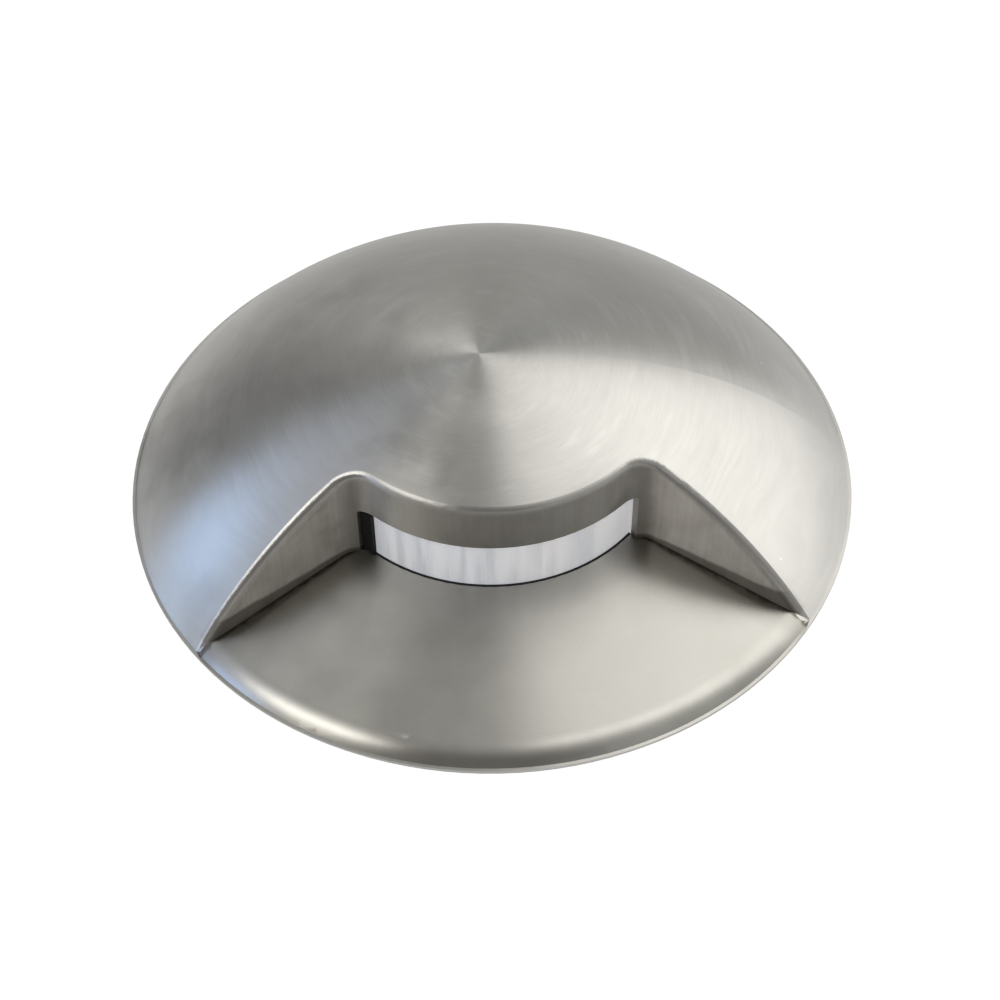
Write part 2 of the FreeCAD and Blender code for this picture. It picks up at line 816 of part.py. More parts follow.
def wire_grommet():
    neck = cylinder(grommet_r, chamber_top_z, led_seat_z, 0, wire_y)
    top = cylinder(grommet_flange_r, led_seat_z, led_seat_z + grommet_flange_thick, 0, wire_y)
    low = chamber_top_z - grommet_flange_thick
    bottom = cylinder(grommet_flange_r, low, chamber_top_z, 0, wire_y)
    solid = joined([neck, top, bottom])
    return without(solid, wire_holes(wire_r + wire_gap, low - over, led_seat_z + over))


def led_wire(x):
    low = driver_board_bottom_z - wire_stub
    return cylinder(wire_r, low, board_top_z + wire_stub, x, wire_y)


def driver_board():
    board = cylinder(driver_board_r, driver_board_bottom_z, driver_board_top_z)
    low, high = driver_board_bottom_z - over, driver_board_top_z + over
    holes = wire_holes(wire_r + wire_gap, low, high)
    for x in (-board_screw_x, board_screw_x):
        holes.append(cylinder(M2_BOARD[0] + hole_gap, low, high, x))
    return without(board, holes)


def driver_board_screws():
    screw = moved(turned(pan_screw(M2_BOARD), 180, Vec(1, 0, 0)), z=driver_board_bottom_z)
    return Part.makeCompound([moved(screw, x) for x in (-board_screw_x, board_screw_x)])


def under_board(size, place):
    """Component body on the board's underside."""
    width, depth, height = size
    x, y = place
    return box(
        (x - width / 2, x + width / 2),
        (y - depth / 2, y + depth / 2),
        (driver_board_bottom_z - height, driver_board_bottom_z),
    )


def power_inductor():
    body = under_board(inductor_size, inductor_at)
    upright = [e for e in body.Edges if abs(e.Vertexes[0].Z - e.Vertexes[1].Z) > over]
    body = body.makeFillet(inductor_size[0] / 5, upright)
    low = driver_board_bottom_z - inductor_size[2]
    return body.cut(ring(*inductor_winding, low - over, low + winding_depth, *inductor_at))


def storage_capacitors():
    low = driver_board_bottom_z - capacitor_height
    cans = []
    for x in (-capacitor_x, capacitor_x):
        can = cylinder(capacitor_r, low, driver_board_bottom_z, x, capacitor_y)
        can = can.makeFillet(can_edge_round, circles(can, capacitor_r, low))
        crimp_z = low + crimp_height
        inner = capacitor_r - crimp_depth
        crimp = ring(inner, capacitor_r + over, crimp_z, crimp_z + crimp_width, x, capacitor_y)
        cans.append(can.cut(crimp))
    return Part.makeCompound(cans)


def rectifier_bridge():
    width, depth, height = bridge_size
    x, y = bridge_at
    legs = []
    for across in (-bridge_lead_x, bridge_lead_x):
        for side in (-1, 1):
            place = (x + across, y + side * (depth / 2 + bridge_lead_out))
            legs.append(under_board((*bridge_lead, height / 2), place))
    return joined([under_board(bridge_size, bridge_at)] + legs)


def driver_chip():
    body = under_board(chip_body_size, chip_body_at)
    low = driver_board_bottom_z - chip_body_size[2]
    x, y = chip_body_at
    place = (x - chip_body_size[0] / 4, y - chip_body_size[1] / 3)
    return body.cut(cylinder(dimple_r, low - over, low + dimple_depth, *place))


def terminal_poles():
    x, y = terminal_at
    return [(x - terminal_pole_x, y), (x + terminal_pole_x, y)]


def supply_terminal():
    low = driver_board_bottom_z - terminal_size[2]
    front = terminal_at[1] - terminal_size[1] / 2
    half, mouth_low, mouth_high = wire_mouth
    holes = []
    for x, y in terminal_poles():
        screw_r = terminal_screw_r + hole_gap
        holes.append(cylinder(screw_r, low - over, low + terminal_hole_depth, x, y))
        depth = (front - over, y - terminal_screw_r)
        holes.append(box((x - half, x + half), depth, (low + mouth_low, low + mouth_high)))
    return without(under_board(terminal_size, terminal_at), holes)


def terminal_screws():
    low = driver_board_bottom_z - terminal_size[2]
    screws = []
    for x, y in terminal_poles():
        head_low = low + terminal_screw_sunk
        head = cylinder(terminal_screw_r, head_low, low + terminal_hole_depth, x, y)
        half, reach = slot_width / 2, 2 * terminal_screw_r
        groove = box((x - reach, x + reach), (y - half, y + half), (low, head_low + slot_depth))
        screws.append(head.cut(groove))
    return Part.makeCompound(screws)


def back_cap():
    plate = cylinder(body_r, cap_bottom_z, body_bottom_z)
    plate = plate.makeChamfer(cap_edge_chamfer, circles(plate, body_r, cap_bottom_z))
    spigot_top = body_bottom_z + cap_spigot_height
    spigot_low = body_bottom_z - cap_thick / 2
    spigot = ring(cap_spigot_inner_r, chamber_r - cap_slide_gap, spigot_low, spigot_top)
    cuts = [
        ring(cap_groove_floor_r, chamber_r + over, cap_groove_low_z, cap_groove_high_z),
        cylinder(gland_thread_r + hole_gap, cap_bottom_z - over, spigot_top),
    ]
    sink = moved(turned(countersink(M25_CSK, csk_gap), 180, Vec(1, 0, 0)), z=cap_bottom_z)
    for angle in cap_screw_angles:
        cuts.append(moved(sink, *polar(cap_screw_r, angle)))
    return without(joined([plate, spigot]), cuts)


def cap_oring():
    centre_r = cap_groove_floor_r + cap_oring_section_r + oring_touch_gap
    return torus(centre_r, cap_oring_section_r, (cap_groove_low_z + cap_groove_high_z) / 2)


def cap_screws():
    screw = moved(turned(flat_screw(M25_CSK), 180, Vec(1, 0, 0)), z=cap_bottom_z)
    return Part.makeCompound([moved(screw, *polar(cap_screw_r, a)) for a in cap_screw_angles])


gland_flange_top_z = cap_bottom_z - gland_washer_thick
gland_flange_bottom_z = gland_flange_top_z - gland_flange_height
gland_stub_z = gland_flange_bottom_z - gland_stub
locknut_top_z = body_bottom_z + locknut_height
gland_seal_low_z = gland_stub_z - gland_seal_proud
gland_seal_high_z = gland_seal_low_z + gland_seal_length
gland_nut_inner_z = gland_seal_low_z - thread_gap


def gland_washer():
    return ring(gland_thread_r + hole_gap, gland_washer_r, gland_flange_top_z, cap_bottom_z)


def gland_body():
    thread = cylinder(gland_thread_r, gland_stub_z, locknut_top_z + thread_end)
    solid = joined([thread, hexagon(gland_flats, gland_flange_bottom_z, gland_flange_top_z)])
    bore = cylinder(gland_bore_r, gland_stub_z - over, locknut_top_z + 2 * over)
    seat = cylinder(gland_seal_r + thread_gap, gland_stub_z - over, gland_seal_high_z)
    return without(solid, [bore, seat])


def gland_seal():
    return ring(gland_seal_bore_r, gland_seal_r, gland_seal_low_z, gland_seal_high_z)


def gland_nut():
    top = gland_flange_bottom_z - gland_nut_gap
    hex_low = top - gland_nut_hex
    end_z = gland_nut_inner_z - gland_nut_end
    outer = gland_flats / 2
    exit_edge = gland_nut_exit_r + gland_nut_wall
    flank = Vec(outer, 0, hex_low)
    bulge_r, bulge_z = gland_nut_bulge
    shoulder = Vec((outer + exit_edge) / 2 + bulge_r, 0, (hex_low + end_z) / 2 - bulge_z)
    dome_part = spin(
        [
            line(Vec(0, 0, hex_low), flank),
            arc(flank, shoulder, Vec(exit_edge, 0, end_z)),
            line(Vec(exit_edge, 0, end_z), Vec(0, 0, end_z)),
            line(Vec(0, 0, end_z), Vec(0, 0, hex_low)),
        ]
    )
    solid = joined([hexagon(gland_flats, hex_low, top), dome_part])
    thread = cylinder(gland_thread_r + hole_gap, gland_nut_inner_z, top + over)
    return without(solid, [thread, cylinder(gland_nut_exit_r, end_z - over, top)])


def gland_locknut():
    nut = hexagon(gland_flats, body_bottom_z, locknut_top_z)
    return nut.cut(cylinder(gland_thread_r + thread_gap, body_bottom_z - over, locknut_top_z + over))


def along_y(radius, half_length, x=pin_x, z=pin_z):
    return Part.makeCylinder(radius, 2 * half_length, Vec(x, -half_length, z), Vec(0, 1, 0))


def clip_bracket():
    width = (-bracket_half_width, bracket_half_width)
    tab_top_z = tab_bottom_z + tab_thick
    plate = box((clip_flat_x, clip_flat_x + sheet), width, (bracket_bottom_z, tab_top_z))
    tab = box((clip_flat_x, ear_x), width, (tab_bottom_z, tab_top_z))
    ears = []
    for low in (-bracket_half_width, bracket_half_width - sheet):
        ears.append(box((clip_flat_x, ear_x), (low, low + sheet), (ear_bottom_z, tab_top_z)))
    solid = joined([plate, tab] + ears)
    lower = [
        edge
        for edge in solid.Edges
        if abs(edge.Vertexes[0].X - ear_x) < 1e-6
        and abs(edge.Vertexes[0].Z - ear_bottom_z) < 1e-6
        and abs(edge.Vertexes[-1].Z - ear_bottom_z) < 1e-6
        and abs(edge.Vertexes[-1].X - ear_x) < 1e-6
    ]
    solid = solid.makeFillet(ear_round, lower)
    feet = [
        edge
        for edge in solid.Edges
        if abs(edge.Length - sheet) < 1e-6
        and abs(edge.Vertexes[0].Z - bracket_bottom_z) < 1e-6
        and abs(edge.Vertexes[-1].Z - bracket_bottom_z) < 1e-6
    ]
    solid = solid.makeFillet(bracket_foot_round, feet)
    hole_r = M25_PAN[0] + hole_gap
    start = Vec(clip_flat_x - over, 0, bracket_screw_z)
    hole = Part.makeCylinder(hole_r, sheet + 2 * over, start, Vec(1, 0, 0))
    return without(solid, [hole, along_y(pin_r + pin_gap, bracket_half_width + over)])


def clip_pin():
    heads = []
    for side in (-1, 1):
        start = Vec(pin_x, side * bracket_half_width, pin_z)
        heads.append(Part.makeCylinder(pin_head_r, pin_head_thick, start, Vec(0, side, 0)))
    return joined([along_y(pin_r, bracket_half_width)] + heads)


def bracket_screws():
    screw = moved(turned(pan_screw(M25_PAN), 90, Vec(0, 1, 0)), clip_flat_x + sheet, 0, bracket_screw_z)
    return Part.makeCompound([screw, mirrored(screw)])


def arm_cheek(low):
    """Side plate of the arm: a disc round the pin that runs out under the web."""
    web_top = pin_z + arm_web_height + arm_sheet
    end_x = pin_x + arm_cheek_reach
    lean = math.radians(cheek_lean)
    start = Vec(pin_x + arm_cheek_r * math.cos(lean), low, pin_z + arm_cheek_r * math.sin(lean))
    outline = [
        line(Vec(pin_x, low, web_top), Vec(end_x, low, web_top)),
        line(Vec(end_x, low, web_top), Vec(end_x, low, pin_z + arm_web_height)),
        line(Vec(end_x, low, pin_z + arm_web_height), start),
        arc(start, Vec(pin_x - arm_cheek_r, low, pin_z), Vec(pin_x, low, pin_z + arm_cheek_r)),
        line(Vec(pin_x, low, pin_z + arm_cheek_r), Vec(pin_x, low, web_top)),
    ]
    return Part.Face(Part.Wire(outline)).extrude(Vec(0, arm_sheet, 0))


def clip_arm():
    web_low = pin_z + arm_web_height
    waist_x = pin_x + arm_cheek_reach
    neck_x = waist_x + neck_length
    tip_x = pin_x + arm_reach
    half, tip_half = arm_half_width, arm_tip_half_width
    corners = [(pin_x, half), (waist_x, half), (neck_x, tip_half), (tip_x, tip_half)]
    corners += [(x, -y) for x, y in reversed(corners)]
    points = [Vec(x, y, web_low) for x, y in corners]
    web = Part.Face(Part.makePolygon(points + points[:1])).extrude(Vec(0, 0, arm_sheet))
    cheeks = [arm_cheek(-half), arm_cheek(half - arm_sheet)]
    solid = joined([web] + cheeks)
    return solid.cut(along_y(pin_r + pivot_gap, half + over))


def clip_pad():
    """Rubber shoe pushed over the arm's tip."""
    web_low = pin_z + arm_web_height
    web_high = web_low + arm_sheet
    start_x = pin_x + arm_cheek_reach + neck_length
    tip_x = pin_x + arm_reach
    width = (-pad_half_width, pad_half_width)
    shoe = box((start_x, tip_x + pad_end_wall), width, (web_low - pad_below, web_high + pad_above))
    upright = [e for e in shoe.Edges if abs(e.Vertexes[0].Z - e.Vertexes[1].Z) > 0.5]
    outer = [e for e in upright if e.Vertexes[0].X > tip_x]
    shoe = shoe.makeFillet(pad_corner_round, outer)
    tip_width = (-arm_tip_half_width, arm_tip_half_width)
    pocket = box((start_x - over, tip_x), tip_width, (web_low, web_high))
    return shoe.cut(pocket)


def biarc(start, start_dir, end, end_dir):
    """Two arcs, tangent to each other and to both ends' directions."""
    gap = end - start
    both = start_dir + end_dir
    a = 2 * (start_dir.dot(end_dir) - 1)
    b = -2 * gap.dot(both)
    c = gap.dot(gap)
    reach = (-b - math.sqrt(b * b - 4 * a * c)) / (2 * a)
    reach = abs(reach)
    first = start + start_dir * reach
    second = end - end_dir * reach
    middle = (first + second) * 0.5
    return [tangent_arc(start, first, middle), tangent_arc(middle, second, end)]


def tangent_arc(start, corner, end):
    middle = (start + end) * 0.5
    half_chord = start.distanceToPoint(middle)
    half_turn = math.acos(half_chord / start.distanceToPoint(corner))
    share = math.tan(half_turn / 2) / math.tan(half_turn)
    return arc(start, middle + (corner - middle) * share, end)


def spring_point(turn):
    """Centre of the wire and its direction; turn 0 is the fixed leg's side, in quarter steps."""
    angle = math.pi - turn * 2 * math.pi
    y = (turn - spring_turns / 2) * spring_pitch
    place = Vec(pin_x + spring_mean_r * math.cos(angle), y, pin_z + spring_mean_r * math.sin(angle))
    along = Vec(
        2 * math.pi * spring_mean_r * math.sin(angle),
        spring_pitch,
        -2 * math.pi * spring_mean_r * math.cos(angle),
    )
    return place, along.normalize()


def clip_spring():
    """Torsion spring: a leg down the bracket, the coil round the pin, and a leg under the arm."""
    steps = round(spring_turns * 4)
    first, first_dir = spring_point(0)
    edges = [line(first - first_dir * spring_fixed_leg, first)]
    for step in range(steps):
        start, start_dir = spring_point(step / 4)
        end, end_dir = spring_point((step + 1) / 4)
        edges += biarc(start, start_dir, end, end_dir)
    last, last_dir = spring_point(spring_turns)
    edges.append(line(last, last + last_dir * spring_moving_leg))
    path = Part.Wire(edges)
    origin = first - first_dir * spring_fixed_leg
    circle = Part.Wire(Part.makeCircle(spring_wire_r, origin, first_dir))
    tube = path.makePipeShell([circle], True, False)
    report_gap()
    return Part.Solid(tube) if tube.ShapeType != "Solid" else tube


def report_gap():
    """Least gap between neighbouring turns, measured on points of the wire's centre line."""
    samples = [spring_point(k / 48)[0] for k in range(round(spring_turns * 48) + 1)]
    least = min(
        samples[i].distanceToPoint(samples[j])
        for i in range(len(samples))
        for j in range(i + 24, len(samples))
    )
    print("spring: least gap to itself", round(least - 2 * spring_wire_r, 3), "mm")


def nodes():
    right = {
        "clip_bracket": clip_bracket(),
        "clip_pin": clip_pin(),
        "clip_spring": clip_spring(),
        "clip_arm": clip_arm(),
        "clip_pad": clip_pad(),
    }
    pieces = {
        "eyelid_cover": eyelid_cover(),
        "deck_gasket": deck_gasket(),
        "diffuser": diffuser(),
        "diffuser_seal": diffuser_seal(),
        "lens_bead": lens_bead(),
        "reflector": reflector(),
        "reflector_screw": reflector_screw(),
        "led_board": led_board(),
        "led_chips": led_chips(),
        "led_board_screws": led_board_screws(),
        "thermal_pad": thermal_pad(),
        "housing": housing(),
        "housing_oring": housing_oring(),
        "cover_screws": cover_screws(),
        "wire_grommet": wire_grommet(),
        "led_wire_red": led_wire(-wire_x),
        "led_wire_black": led_wire(wire_x),
        "driver_board": driver_board(),
        "driver_board_screws": driver_board_screws(),
        "power_inductor": power_inductor(),
        "storage_capacitors": storage_capacitors(),
        "rectifier_bridge": rectifier_bridge(),
        "driver_chip": driver_chip(),
        "supply_terminal": supply_terminal(),
        "terminal_screws": terminal_screws(),
        "back_cap": back_cap(),
        "cap_oring": cap_oring(),
        "cap_screws": cap_screws(),
        "gland_body": gland_body(),
        "gland_washer": gland_washer(),
        "gland_seal": gland_seal(),
        "gland_nut": gland_nut(),
        "gland_locknut": gland_locknut(),
        "bracket_screws": bracket_screws(),
    }
    for name, shape in right.items():
        pieces[name + "_right"] = shape
        pieces[name + "_left"] = mirrored(shape)
    return pieces


os.makedirs("parts", exist_ok=True)
for node, shape in nodes().items():
    if not shape.isValid():
        print("not valid:", node)
    shape.exportStep(f"parts/{node}.step")
    print(node, len(shape.Solids), round(shape.Volume, 2))
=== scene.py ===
"""Recessed eyelid step light: finishes, springs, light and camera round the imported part. Metres."""

import math

import bpy
from mathutils import Matrix, Vector


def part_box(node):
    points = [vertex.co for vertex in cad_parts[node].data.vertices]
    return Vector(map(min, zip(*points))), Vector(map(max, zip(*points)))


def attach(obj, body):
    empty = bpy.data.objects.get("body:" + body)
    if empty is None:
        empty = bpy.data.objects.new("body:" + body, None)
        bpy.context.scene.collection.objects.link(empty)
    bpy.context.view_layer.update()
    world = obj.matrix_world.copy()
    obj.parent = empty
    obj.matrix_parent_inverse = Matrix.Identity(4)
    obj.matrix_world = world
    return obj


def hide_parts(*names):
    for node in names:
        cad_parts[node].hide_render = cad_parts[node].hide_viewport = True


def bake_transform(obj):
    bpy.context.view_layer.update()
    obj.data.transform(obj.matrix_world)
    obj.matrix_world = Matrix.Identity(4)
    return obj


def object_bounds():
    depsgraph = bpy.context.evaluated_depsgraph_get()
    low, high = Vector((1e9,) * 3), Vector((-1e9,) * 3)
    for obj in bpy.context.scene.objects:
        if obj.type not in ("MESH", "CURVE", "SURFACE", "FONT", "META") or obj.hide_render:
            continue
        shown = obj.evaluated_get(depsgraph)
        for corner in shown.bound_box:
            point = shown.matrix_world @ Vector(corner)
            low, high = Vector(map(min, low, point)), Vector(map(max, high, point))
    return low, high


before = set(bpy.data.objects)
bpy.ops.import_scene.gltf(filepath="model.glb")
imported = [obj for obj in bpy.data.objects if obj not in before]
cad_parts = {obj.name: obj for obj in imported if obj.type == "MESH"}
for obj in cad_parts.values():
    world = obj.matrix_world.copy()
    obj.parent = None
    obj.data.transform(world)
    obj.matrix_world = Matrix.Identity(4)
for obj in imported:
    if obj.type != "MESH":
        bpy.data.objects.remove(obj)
cad_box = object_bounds()
MM = 0.001
NOISE_LOW, NOISE_HIGH = 0.3, 0.7  # noise seldom leaves this range

# ---- the camera, as the photograph was taken -------------------------------------------------------------
IMAGE_PIXELS = 1000
SENSOR_WIDTH = 36.0
FOCAL_PIXELS = 1976.8
CAMERA_DISTANCE = 0.2
CAMERA_AZIMUTH = math.radians(-2.63)
CAMERA_ELEVATION = math.radians(48.76)
CAMERA_ROLL = math.radians(-0.735)
AIM_RIGHT = math.radians(0.223)  # turned away from the frame's origin, to the right and upwards
AIM_UP = math.radians(-0.756)
CLIP_NEAR, CLIP_FAR = 0.01, 1000.0

# ---- the cover's form, as the part has it ----------------------------------------------------------------
COVER_LOW, COVER_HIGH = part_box("eyelid_cover")
LIP_R = COVER_HIGH.x
POCKET_WALL_R = 17.25 * MM  # the pocket's back wall, round the cover's axis
POCKET_APEX = 2.1 * MM  # how far in front of that axis the planes of the two side walls meet
POCKET_HALF_ANGLE = math.radians(55.6)
POCKET_FLOOR_Z = 3.5 * MM
ROLL_START_R = 33.5 * MM  # where the pocket's floor starts to roll over the edge
BRUSH_POLE = (-1.1 * MM, 0.0)  # the polishing wheel ran round a point a little beside the crown

# ---- the clips' springs ----------------------------------------------------------------------------------
PIN_LOW, PIN_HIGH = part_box("clip_pin_right")
PIN_X = (PIN_LOW.x + PIN_HIGH.x) / 2
PIN_Z = (PIN_LOW.z + PIN_HIGH.z) / 2
WIRE_R = 0.3 * MM
COIL_R = 1.8 * MM
COIL_PITCH = 1.25 * MM
COIL_TURNS = 4.25
TURN_STEPS = 40
FIXED_LEG = 5.2 * MM
MOVING_LEG = 5.0 * MM
LEG_STEPS = 8
WIRE_SIDES = 16
CAP_REACH, CAP_R = 0.35, 0.75  # the wire's domed ends, as shares of its radius


class Graph:
    """A material's or world's node tree with short calls for the nodes used here."""

    def __init__(self, tree):
        self.tree = tree
        tree.nodes.clear()

    def node(self, kind, **settings):
        made = self.tree.nodes.new(kind)
        for name, value in settings.items():
            setattr(made, name, value)
        return made

    def feed(self, socket, value):
        if isinstance(value, bpy.types.NodeSocket):
            self.tree.links.new(value, socket)
        elif value is not None:
            socket.default_value = value

    def maths(self, operation, a, b=None, clamp=False):
        made = self.node("ShaderNodeMath", operation=operation, use_clamp=clamp)
        for socket, value in zip(made.inputs, (a, b)):
            self.feed(socket, value)
        return made.outputs[0]

    def times(self, a, b):
        return self.maths("MULTIPLY", a, b)

    def total(self, *values):
        result = values[0]
        for value in values[1:]:
            result = self.maths("ADD", result, value)
        return result

    def vector(self, operation, a, b=None):
        made = self.node("ShaderNodeVectorMath", operation=operation)
        self.feed(made.inputs[0], a)
        self.feed(made.inputs[1], b)
        return made.outputs["Value"] if operation in ("DOT_PRODUCT", "LENGTH") else made.outputs[0]

    def split(self, vector):
        made = self.node("ShaderNodeSeparateXYZ")
        self.feed(made.inputs[0], vector)
        return made.outputs

    def combine(self, x, y, z):
        made = self.node("ShaderNodeCombineXYZ")
        for socket, value in zip(made.inputs, (x, y, z)):
            self.feed(socket, value)
        return made.outputs[0]

    def spread(self, value, low, high, to_low=0.0, to_high=1.0, curve="LINEAR"):
        made = self.node("ShaderNodeMapRange", interpolation_type=curve)
        for socket, number in zip(made.inputs, (value, low, high, to_low, to_high)):
            self.feed(socket, number)
        return made.outputs[0]

    def smooth(self, value, low, high, to_low=0.0, to_high=1.0):
        return self.spread(value, low, high, to_low, to_high, "SMOOTHSTEP")

    def swing(self, noise, low, high):
        """Noise drawn out so that its usual range runs from low to high."""
        return self.spread(noise, NOISE_LOW, NOISE_HIGH, low, high)

    def noise(self, vector, scale, detail=2.0, roughness=0.5):
        made = self.node("ShaderNodeTexNoise")
        self.feed(made.inputs["Vector"], vector)
        made.inputs["Scale"].default_value = scale
        made.inputs["Detail"].default_value = detail
        made.inputs["Roughness"].default_value = roughness
        return made.outputs["Fac"]

    def blend(self, share, a, b):
        """A number between a and b."""
        made = self.node("ShaderNodeMix")
        for socket, value in zip(made.inputs, (share, None, a, b)):
            self.feed(socket, value)
        return made.outputs[0]

    def mix_vector(self, share, a, b):
        """A vector between a and b."""
        made = self.node("ShaderNodeMix", data_type="VECTOR")
        self.feed(made.inputs[0], share)
        self.feed(made.inputs[4], a)
        self.feed(made.inputs[5], b)
        return made.outputs[1]

    def scaled(self, vector, factors):
        return self.vector("MULTIPLY", vector, factors)

    def mix(self, share, a, b):
        """A colour between a and b."""
        made = self.node("ShaderNodeMix", data_type="RGBA")
        self.feed(made.inputs["Factor"], share)
        self.feed(made.inputs[6], (*a, 1.0) if isinstance(a, tuple) else a)
        self.feed(made.inputs[7], (*b, 1.0) if isinstance(b, tuple) else b)
        return made.outputs[2]

    def bump(self, height, distance, strength=0.5):
        made = self.node("ShaderNodeBump")
        self.feed(made.inputs["Height"], height)
        made.inputs["Distance"].default_value = distance
        made.inputs["Strength"].default_value = strength
        return made.outputs[0]

    def place(self):
        return self.node("ShaderNodeTexCoord").outputs["Object"]

    def principled(self, **inputs):
        shader = self.node("ShaderNodeBsdfPrincipled")
        for name, value in inputs.items():
            socket = shader.inputs[name.replace("_", " ")]
            if isinstance(value, tuple):
                value = (*value, 1.0)[: len(socket.default_value)]
            self.feed(socket, value)
        self.tree.links.new(shader.outputs[0], self.node("ShaderNodeOutputMaterial").inputs[0])
        return shader


def add_object(name, data):
    piece = bpy.data.objects.new(name, data)
    bpy.context.scene.collection.objects.link(piece)
    return piece


def material(name):
    made = bpy.data.materials.new(name)
    made.use_nodes = True
    return made, Graph(made.node_tree)


def polar(g, pole=(0.0, 0.0)):
    """Radius, height and the unit vector outwards, round an upright axis through the pole."""
    x, y, z = g.split(g.vector("SUBTRACT", g.place(), (*pole, 0.0)))
    flat = g.combine(x, y, 0.0)
    radius = g.vector("LENGTH", flat)
    outward = g.vector("NORMALIZE", flat)
    return radius, z, outward


def rings(g, radius, z, outward, pitch, breaks):
    """Coordinates for noise drawn out round the axis: fine along the radius, long round it."""
    cos_a, sin_a, _ = g.split(outward)
    return g.combine(g.times(g.total(radius, z), 1 / pitch), g.times(cos_a, breaks), g.times(sin_a, breaks))


# ---- tones and marks of the cover ------------------------------------------------------------------------
DOME_DARK, DOME_LIGHT, DOME_ROUGH = (0.39, 0.385, 0.37), (0.73, 0.72, 0.70), 0.33
WALL_DARK, WALL_LIGHT, WALL_ROUGH = (0.44, 0.42, 0.39), (0.60, 0.575, 0.54), 0.5
FLOOR_DARK, FLOOR_LIGHT, FLOOR_ROUGH = (0.44, 0.43, 0.405), (0.62, 0.61, 0.58), 0.31
ROLL_ROUGH = 0.28
PAINTED_POCKET_SHADE = (0.27, 0.26, 0.24)  # painted shade at the pocket's back and along its side walls
PAINTED_CREASE_SHADE = (0.11, 0.095, 0.08)  # painted shade where the walls stand on the floor
DUST = (0.85, 0.84, 0.82)
# marks that run round the axis: their pitch, and how often they break off on the way
FINE_MARKS, ARC_MARKS = (0.13 * MM, 5.0), (0.6 * MM, 2.6)
STREAK_MARKS, BROAD_MARKS, CHATTER_MARKS = (1.1 * MM, 2.0), (2.6 * MM, 1.6), (0.5 * MM, 6.0)
STREAK_EDGE, SCRATCH_EDGE = (0.58, 0.72), (0.68, 0.76)  # noise above this is a streak or a scratch
DOME_TONE, STREAK_TONE, SCRATCH_TONE = 0.48, 0.12, 0.22  # between dark (0) and light (1)
BRUSH_DEPTH = 0.012 * MM
MILLED_MARKS = (2400.0, 2400.0, 130.0)  # per metre along x, y and z
FEED = 0.2 * MM  # how far the turning tool moved on with each turn
FLOOR_TONE, GROOVE_TONE = 0.5, 0.18
GROOVE_DEPTH = 0.003 * MM
SCRATCHED_PLACE = (-2.2 * MM, -13.8 * MM, 15.5 * MM)  # just behind the brow
SCRATCHED_R = 5 * MM
SCRATCH_COURSES = ((1.0, 0.7), (0.5, -1.0))  # the two ways that the hairlines run
SCRATCH_LENGTHS, SCRATCH_WIDTHS = 260.0, 6500.0  # per metre along and across
DUST_CELLS = 190.0  # per metre
DUST_EDGE = (0.028, 0.014)  # a grain's radius with and without its soft edge, as a share of a cell
# places where the dome's colour is lighter or darker: x, y and radius in mm, and how much lighter or darker
# the tone is there
DOME_TONE_PATCHES = (
    (-4.1, 0.6, 4.5, 0.25),
    (2.2, 2.2, 4.0, -0.15),
    (-1.5, -7.5, 4.0, 0.3),
    (-6.5, -9.0, 5.5, -0.35),
    (-10.0, -13.5, 6.0, -0.35),
    (-15.0, 7.0, 10.0, 0.35),
    (-28.0, -17.0, 3.5, -0.2),
    (-32.0, 2.0, 9.0, -0.4),
)


def tone_patches(g, place):
    """Sum of the dome's lighter and darker places, with ragged edges."""
    x, y, _ = g.split(place)
    ragged = g.swing(g.noise(place, 260.0, 2.0), -0.25, 0.25)
    parts = []
    for patch_x, patch_y, radius, change in DOME_TONE_PATCHES:
        offset = g.combine(g.maths("SUBTRACT", x, patch_x * MM), g.maths("SUBTRACT", y, patch_y * MM), 0.0)
        away = g.total(g.times(g.vector("LENGTH", offset), 1 / (radius * MM)), ragged)
        parts.append(g.smooth(away, 1.0, 0.1, 0.0, change))
    return g.total(*parts)


def scratches(g, place):
    """Hairlines that cross each other, most of them just behind the brow."""
    away = g.vector("LENGTH", g.vector("SUBTRACT", place, SCRATCHED_PLACE))
    share = g.smooth(away, SCRATCHED_R, 0.6 * SCRATCHED_R, 0.3, 1.0)
    lines = []
    for course_x, course_y in SCRATCH_COURSES:
        along = g.vector("DOT_PRODUCT", place, (course_x, course_y, 0.0))
        across = g.vector("DOT_PRODUCT", place, (-course_y, course_x, 0.0))
        drawn_out = g.combine(g.times(along, SCRATCH_LENGTHS), g.times(across, SCRATCH_WIDTHS), 0.0)
        lines.append(g.smooth(g.noise(drawn_out, 1.0, 1.0), *SCRATCH_EDGE))
    return g.times(g.total(*lines), share)


def specks(g, place):
    """1 on grains of dust a few millimetres apart."""
    cells = g.node("ShaderNodeTexVoronoi", feature="F1")
    g.feed(cells.inputs["Vector"], place)
    cells.inputs["Scale"].default_value = DUST_CELLS
    return g.smooth(cells.outputs["Distance"], *DUST_EDGE)


